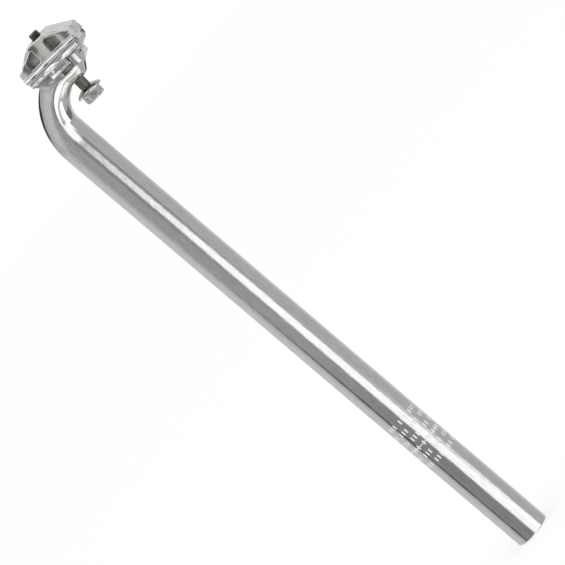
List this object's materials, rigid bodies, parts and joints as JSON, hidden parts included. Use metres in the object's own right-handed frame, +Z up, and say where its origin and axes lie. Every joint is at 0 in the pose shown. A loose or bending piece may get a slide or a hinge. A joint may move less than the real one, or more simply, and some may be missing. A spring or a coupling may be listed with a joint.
{
  "type": "bicycle seatpost",
  "caption": "Laid-back bicycle seatpost: a polished tube bent back under a serrated head, with a one-bolt saddle clamp whose two jaws grip the rails and tilt in the head's trough",
  "frame": {"origin": "on the tube's axis at the insertion limit, 100 mm above the bottom end", "axes": "+X forward on the bicycle, +Y to the rider's left, +Z up along the tube"},
  "size_m": [0.0721, 0.053, 0.4822],
  "materials": {
    "polished_alloy": "forged and drawn alloy, polished along the tube",
    "bright_clamp_alloy": "forged alloy, tumbled and bright-polished",
    "plated_steel": "zinc-plated steel, darker on the thread"
  },
  "bodies": {
    "post": {"post": "polished_alloy"},
    "cradle": {"lower_cradle": "bright_clamp_alloy"},
    "jaw": {"upper_clamp": "bright_clamp_alloy", "clamp_bolt": "plated_steel", "bolt_washer": "plated_steel"}
  },
  "joints": [
    {"name": "saddle_tilt", "type": "hinge", "parent": "post", "child": "cradle", "pos_m": [-0.03715, 0, 0.38094], "axis": [0, 1, 0], "range_deg": [-3, 16]},
    {"name": "jaw_lift", "type": "slide", "parent": "cradle", "child": "jaw", "axis": [-0.0785, 0, 0.9969], "range_m": [0, 0.0045]}
  ]
}
